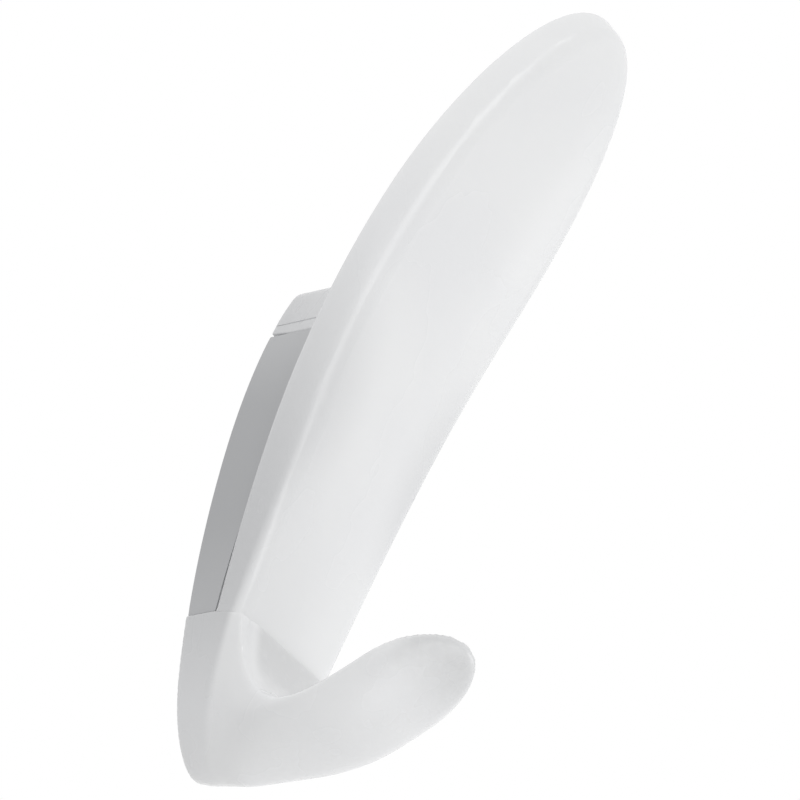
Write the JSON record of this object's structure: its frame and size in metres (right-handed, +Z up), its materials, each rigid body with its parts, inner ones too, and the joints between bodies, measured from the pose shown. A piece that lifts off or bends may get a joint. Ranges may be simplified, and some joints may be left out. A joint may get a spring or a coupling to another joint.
{
  "type": "adhesive coat hook",
  "caption": "Double coat hook of frosted plastic: a tall leaning paddle above a short upturned tongue, tilting on a wall plate that an adhesive strip holds to the wall.",
  "frame": {"origin": "middle of the adhesive strip's face that meets the wall", "axes": "+Y into the wall, +Z up the wall, +X to the right of someone who looks at the wall"},
  "size_m": [0.039, 0.0558, 0.1593],
  "materials": {
    "frosted_plastic": "frosted satin",
    "grey_plastic": "satin",
    "foam": "matt foam",
    "adhesive": "tacky film",
    "tab_film": "satin film"
  },
  "bodies": {
    "plate": {"wall_adhesive": "adhesive", "foam_strip": "foam", "plate_adhesive": "adhesive", "pull_tab": "tab_film", "wall_plate": "grey_plastic"},
    "hook": {"upper_prong": "frosted_plastic", "lower_hook": "frosted_plastic"}
  },
  "joints": [
    {"name": "hook_tilt", "type": "hinge", "parent": "plate", "child": "hook", "pos_m": [0, -0.0058, 0.043], "axis": [-1, 0, 0], "range_deg": [0, 10]}
  ]
}
